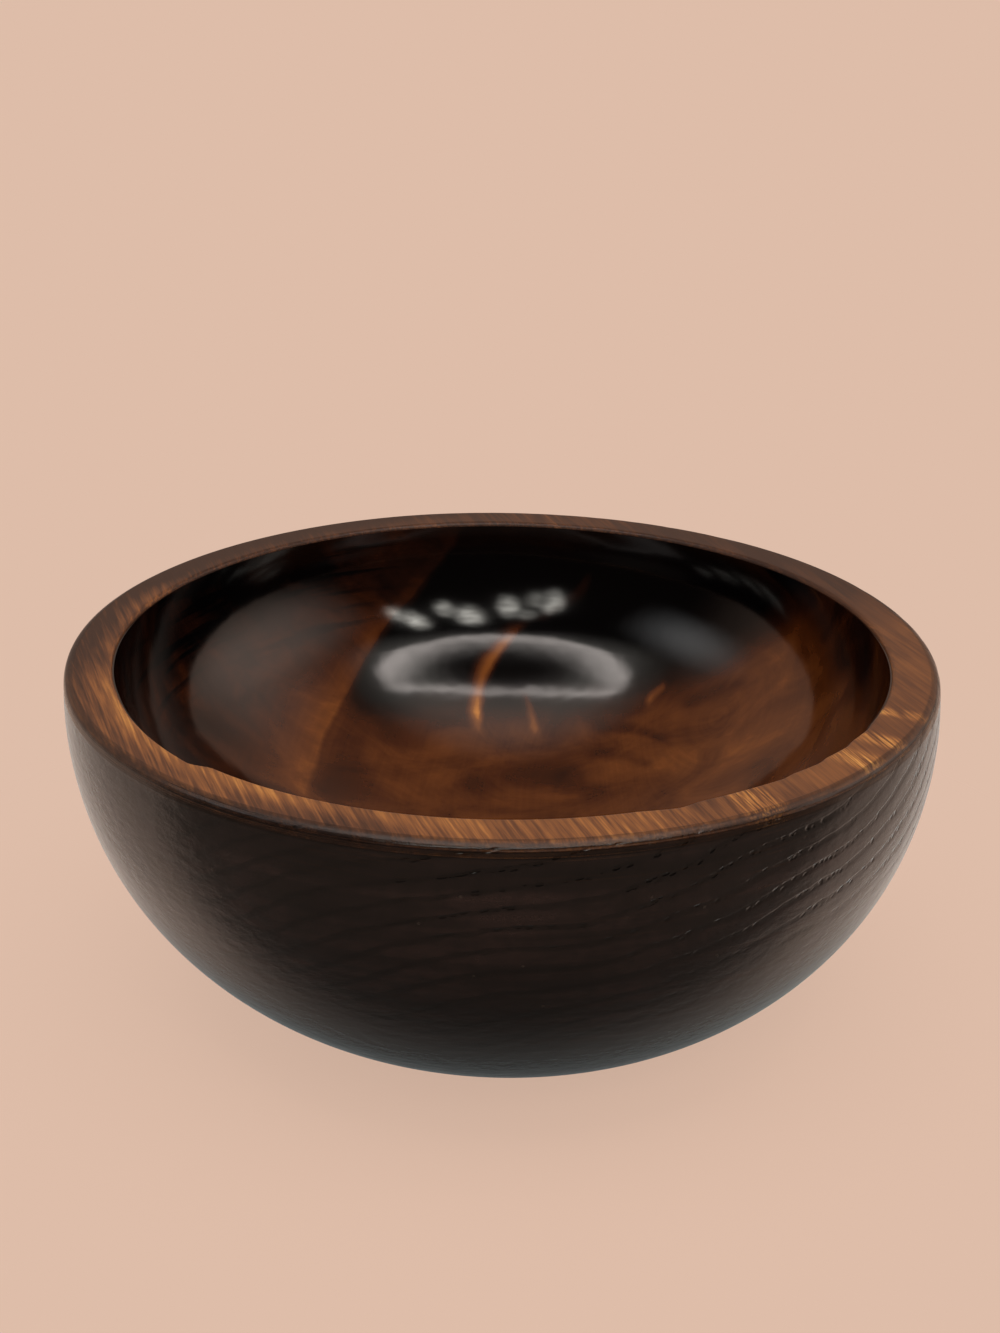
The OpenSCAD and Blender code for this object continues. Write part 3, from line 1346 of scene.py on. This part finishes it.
@dataclass
class Bowl:
    """The bowl: a turned body of wood and the coat of lacquer that lines its hollow."""

    section: BowlSection
    block: WoodBlock
    seasoning: Seasoning = Seasoning()

    def build_piece(self, node: str, stretches: Sequence[Stretch], finish: WoodFinish,
                    stained: Optional[WoodFinish] = None) -> None:
        """Builds one piece and sets it in the frame.

        Args:
            node: The construction's node that the piece stands for.
            stretches: The piece's section.
            finish: The piece's finish.
            stained: The finish of its stained part, where that is another.
        """
        turned = TurnedPiece(f"{node}_dressed", stretches, self.block, self.seasoning, self.section)
        piece = turned.build(finish.make(), stained.make() if stained else None)
        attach(piece, BODY)
        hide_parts(node)

    def build(self) -> None:
        """Builds both pieces."""
        self.build_piece("turned_body", self.section.body_stretches(),
                         StainedSatin(self.block, self.section, "bare_rim_wood", specular=0.4),
                         StainedSatin(self.block, self.section, sheen=0.48))
        self.build_piece("inside_lacquer", self.section.lacquer_stretches(),
                         LacqueredFigure(self.block, self.section))


@dataclass(frozen=True)
class Softbox:
    """A flat lamp with soft edges, aimed at a point."""

    name: str
    place: Place
    aim: Place
    width: float
    height: float
    radiance: float
    colour: Colour = (1.0, 1.0, 1.0)
    edge: float = 0.5

    def build(self) -> None:
        """Hangs the lamp."""
        lamp = bpy.data.lights.new(self.name, "AREA")
        lamp.shape = "RECTANGLE"
        lamp.size, lamp.size_y = self.width, self.height
        lamp.color = self.colour
        lamp.energy = self.radiance * math.pi * self.width * self.height
        lamp.use_nodes = True
        sheet = NodeSheet(lamp.node_tree)
        across, up, _ = sheet.split(sheet.field("ShaderNodeNewGeometry", output="Parametric"))
        sheet.fill(lamp.node_tree.nodes["Emission"], {"Strength": self.shape(across, up)})
        hung = bpy.data.objects.new(self.name, lamp)
        hung.location = self.place
        hung.rotation_euler = (Vector(self.aim) - Vector(self.place)).to_track_quat("-Z", "Y").to_euler()
        bpy.context.scene.collection.objects.link(hung)

    def shape(self, across: Field, up: Field) -> Field:
        """Gives how bright the lamp is at each place on its face.

        Args:
            across: Place across the face, from 0 to 1.
            up: Place up the face, from 0 to 1.

        Returns:
            The brightness, from 0 to 1.
        """
        from_edges = [0.5 - across.sheet.math("ABSOLUTE", place - 0.5) for place in (across, up)]
        beside, above = [gap.eased(0.0, self.edge) for gap in from_edges]
        return beside * above


@dataclass(frozen=True)
class RingLamp(Softbox):
    """The front half of a round frame overhead, with a dim middle. Sizes are shares of its width."""

    centre_up: float = 0.224
    reach: float = 0.470
    reach_core: float = 0.90
    back: float = 0.145
    back_curve: float = 0.55
    back_fade: Ease = (0.0, 0.025)
    oval_up: float = -0.04
    oval_tall: float = 0.33
    oval_fade: Ease = (1.14, 0.98)
    inner: float = 0.02
    frame_side: float = 0.77
    frame_front: float = 0.75
    inner_fade: Ease = (1.20, 0.78)
    inner_back: Ease = (0.022, 0.055)
    gap_up: float = 0.022
    gap_wide: float = 0.205
    gap_tall: float = 0.058
    gap_fade: Ease = (0.50, 1.10)
    front_level: Ease = (-0.22, 0.06, 0.75, 1.0)
    mottle_scale: float = 14.0
    mottle: Ease = (0.32, 0.62, 0.78, 1.0)

    def shape(self, across: Field, up: Field) -> Field:
        """Gives how bright the lamp is at each place on its face."""
        sheet = across.sheet
        right = across - 0.5
        away = (up - 0.5) * (self.height / self.width)
        beyond = away - self.centre_up
        from_back = right * right * self.back_curve + self.back - away
        disc = sheet.length(right, beyond).eased(self.reach, self.reach_core * self.reach)
        oval = sheet.oval(right, away - self.oval_up, self.reach, self.oval_tall)
        disc = disc * from_back.eased(*self.back_fade) * oval.eased(*self.oval_fade)
        middle = sheet.oval(right, beyond, self.frame_side * self.reach, self.frame_front * self.reach)
        within = middle.eased(*self.inner_fade) * from_back.eased(*self.inner_back)
        gap = sheet.oval(right, away - self.gap_up, self.gap_wide, self.gap_tall).eased(*self.gap_fade)
        uneven = sheet.noise(sheet.join(right, beyond), self.mottle_scale, 1.0).eased(*self.mottle)
        lit = disc * within.straight(1.0, self.inner) * uneven
        return lit * (gap * away.eased(*self.front_level, "LINEAR"))


@dataclass(frozen=True)
class Halo(Softbox):
    """A soft oval glow with a dark hole. The hole's place and half sizes are shares of the half face."""

    hole_up: float = -0.09
    hole_wide: float = 0.38
    hole_tall: float = 0.32
    hole_fade: Ease = (0.6, 1.3)

    def shape(self, across: Field, up: Field) -> Field:
        """Gives how bright the glow is at each place on its face."""
        right, above = [place * 2.0 - 1.0 for place in (across, up)]
        glow = across.sheet.length(right, above).eased(1.0, 1.0 - self.edge)
        hole = across.sheet.oval(right, above - self.hole_up, self.hole_wide, self.hole_tall)
        return glow * hole.eased(*self.hole_fade)


@dataclass(frozen=True)
class Bulb:
    """One bulb of a row: its place on the face, its half sizes and its share of the light."""

    across: float
    up: float
    half_width: float
    half_height: float
    level: float


@dataclass(frozen=True)
class BulbRow(Softbox):
    """A slanting row of bulbs, each a large one with a smaller one beside it."""

    bulbs: tuple[Bulb, ...] = (
        Bulb(0.138, 0.288, 0.072, 0.26, 0.78),
        Bulb(0.205, 0.245, 0.060, 0.18, 0.36),
        Bulb(0.318, 0.379, 0.066, 0.25, 0.88),
        Bulb(0.245, 0.490, 0.070, 0.16, 0.30),
        Bulb(0.500, 0.570, 0.098, 0.28, 1.05),
        Bulb(0.612, 0.440, 0.075, 0.20, 0.75),
        Bulb(0.822, 0.715, 0.112, 0.30, 1.15),
        Bulb(0.915, 0.570, 0.078, 0.22, 0.85),
    )
    core: float = 0.1
    mottle_scale: float = 14.0
    mottle: Ease = (0.35, 0.60, 0.45, 1.0)

    def shape(self, across: Field, up: Field) -> Field:
        """Gives how bright the row is at each place on its face."""
        sheet = across.sheet
        lit: Value = 0.0
        for bulb in self.bulbs:
            away = sheet.oval(across - bulb.across, up - bulb.up, bulb.half_width, bulb.half_height)
            lit = sheet.math("MAXIMUM", lit, away.eased(self.core, 1.0, bulb.level, 0.0))
        uneven = sheet.noise(sheet.join(across, up), self.mottle_scale).eased(*self.mottle)
        return lit * uneven * super().shape(across, up)


@dataclass
class Studio:
    """The plain pale floor, the soft light and the camera.

    Eases on the floor are in shares of the bowl's radius, and the camera's distance is too.
    """

    rim_height: float
    bowl_r: float
    pale: Colour = (0.730, 0.509, 0.397)
    white: Colour = (1.0, 1.0, 1.0)
    warm: Colour = (1.0, 0.80, 0.69)
    cream: Colour = (1.0, 0.97, 0.88)
    ivory: Colour = (1.0, 0.90, 0.85)
    floor_half: float = 30.0
    floor_drop: float = 0.0001
    floor_roughness: float = 0.9
    floor_share: float = 0.24
    shown_share: float = 0.92
    plain_from: Ease = (0.45, 1.7, 0.80, 1.0)
    mirror_beside: Ease = (-1.0, -0.45)
    mirror_clear: Ease = (0.65, 1.25, 0.03, 0.95)
    # Painted shade: the floor's colour in reflections and bounced light darkens near the foot
    painted_shade_near_foot: Ease = (0.6, 2.0, 0.30, 1.0)
    even_light: float = 0.65
    front_dim: Ease = (-0.45, 0.15, 0.03, 0.62)
    overhead_dim: Ease = (0.50, 0.90, 1.0, 0.45)
    camera_distance: float = 4.51
    camera_elevation: float = math.radians(21.83)
    camera_roll: float = math.radians(0.67)
    camera_aim: Place = (-0.0019, 0.0, 0.0698)
    focal_pixels: float = 1947.6
    photo_height: float = 1333.0
    sensor: float = 36.0

    def build(self) -> None:
        """Sets up the floor, the light and the camera."""
        bpy.context.scene.view_settings.view_transform = "Standard"
        self.build_floor()
        self.build_world()
        self.build_lamps()
        self.build_camera()

    def rays(self, sheet: NodeSheet) -> tuple[Field, Field]:
        """Tells rays apart.

        Args:
            sheet: The tree of the floor or of the world.

        Returns:
            1 for a ray from the camera, and 1 for any ray that shows the background and does not light.
        """
        path = sheet.add("ShaderNodeLightPath").outputs
        kinds = ("Is Camera Ray", "Is Glossy Ray", "Is Transmission Ray")
        camera, glossy, transmission = [Field(sheet, path[kind]) for kind in kinds]
        seen = sheet.math("MAXIMUM", camera, glossy)
        return camera, sheet.math("MAXIMUM", seen, transmission)

    def dimmed(self, share: float) -> Colour:
        """Gives a share of the pale colour."""
        return tuple(share * part for part in self.pale)

    def build_floor(self) -> None:
        """Lays the floor just under the foot: it takes the shadow, and turns plain further out."""
        half, below = self.floor_half, -self.floor_drop
        mesh = bpy.data.meshes.new("pale_floor")
        corners = [(-half, -half, below), (half, -half, below), (half, half, below), (-half, half, below)]
        mesh.from_pydata(corners, [], [(0, 1, 2, 3)])
        floor = bpy.data.objects.new("pale_floor", mesh)
        material = bpy.data.materials.new("pale_floor")
        material.use_nodes = True
        self.paint_floor(NodeSheet(material.node_tree), material.node_tree.nodes["Principled BSDF"])
        mesh.materials.append(material)
        bpy.context.scene.collection.objects.link(floor)

    def paint_floor(self, sheet: NodeSheet, shader: bpy.types.Node) -> None:
        """Adds the nodes of the floor.

        Args:
            sheet: The floor's tree.
            shader: The shader that takes the shadow.
        """
        camera, seen = self.rays(sheet)
        position = sheet.field("ShaderNodeTexCoord", output="Object")
        away = sheet.vector("LENGTH", position) / self.bowl_r
        back = sheet.split(position)[1] / self.bowl_r
        # Painted shade around the foot, in the colour that reflections and bounced light see
        floor_with_painted_shade = sheet.scaled(self.dimmed(self.floor_share), away.eased(*self.painted_shade_near_foot))
        sheet.fill(shader, {
            "Base Color": sheet.blend(camera, floor_with_painted_shade, self.dimmed(self.shown_share)),
            "Roughness": self.floor_roughness,
            "Specular IOR Level": 0.0,
        })
        plain = sheet.add("ShaderNodeEmission", {"Color": opaque(self.pale), "Strength": 1.0})
        mirrored = back.eased(*self.mirror_beside) * away.eased(*self.mirror_clear) * seen
        share = (away.eased(*self.plain_from) - mirrored) * camera + mirrored
        sheet.mix_shaders(share, shader, plain, "Material Output")

    def build_world(self) -> None:
        """Lights the scene evenly; reflections show a pale backdrop, dimmer overhead and in front."""
        world = bpy.data.worlds.new("studio")
        bpy.context.scene.world = world
        world.use_nodes = True
        sheet = NodeSheet(world.node_tree)
        _, back, height = sheet.split(sheet.field("ShaderNodeTexCoord", output="Generated"))
        camera, seen = self.rays(sheet)
        dim = back.eased(*self.front_dim) * height.eased(*self.overhead_dim)
        shown = world.node_tree.nodes["Background"]
        sheet.fill(shown, {"Color": opaque(self.pale), "Strength": sheet.math("MAXIMUM", dim, camera)})
        even = {"Color": opaque(self.white), "Strength": self.even_light}
        sheet.mix_shaders(seen, sheet.add("ShaderNodeBackground", even), shown, "World Output")

    def build_lamps(self) -> None:
        """Hangs a frame of light and a glow overhead, bulbs in front and a soft lamp at each side."""
        lamps = [
            RingLamp("overhead_ring", (0.0, -0.380, 1.275), aim=(0.0, -0.380, 0.0),
                     width=1.584, height=0.84, radiance=7.4, colour=self.ivory),
            Halo("overhead_glow", (0.0, -0.29, 1.300), aim=(0.0, -0.29, 0.0),
                 width=2.3, height=1.20, radiance=0.92, colour=self.cream, edge=0.60),
            BulbRow("front_bulbs", (0.26, -1.0, 1.055), aim=(0.26, 0.0, 1.055),
                    width=1.60, height=1.20, radiance=11.0, colour=self.cream, edge=0.02),
            Softbox("right_side", (1.14, 0.10, 0.67), aim=(0.0, 0.0, 0.06),
                    width=2.2, height=1.3, radiance=1.05, colour=self.warm, edge=0.42),
            Softbox("left_side", (-1.02, -0.27, 0.82), aim=(0.0, 0.0, 0.06),
                    width=1.2, height=0.8, radiance=1.20, edge=0.50),
        ]
        for lamp in lamps:
            lamp.build()

    def build_camera(self) -> None:
        """Sets the camera where the photograph was taken."""
        data = bpy.data.cameras.new("camera")
        data.sensor_width = self.sensor
        data.lens = self.sensor * self.focal_pixels / self.photo_height
        camera = bpy.data.objects.new("camera", data)
        away = Vector((0.0, -math.cos(self.camera_elevation), math.sin(self.camera_elevation)))
        place = Vector((0.0, 0.0, self.rim_height)) + away * self.camera_distance * self.bowl_r
        look = (Vector(self.camera_aim) - place).to_track_quat("-Z", "Y").to_matrix().to_4x4()
        camera.matrix_world = Matrix.Translation(place) @ look @ Matrix.Rotation(self.camera_roll, 4, "Z")
        bpy.context.scene.collection.objects.link(camera)
        bpy.context.scene.camera = camera


def main() -> None:
    """Builds the bowl and its studio."""
    logging.basicConfig(level=logging.INFO, format="%(name)s: %(message)s")
    low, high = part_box("turned_body")
    section = BowlSection(bowl_r=(high.y - low.y) / 2.0, bowl_h=high.z)
    bowl = Bowl(section, WoodBlock(rim_height=section.bowl_h))
    bowl.build()
    Studio(section.bowl_h, section.bowl_r).build()


if __name__ == "__main__":
    main()
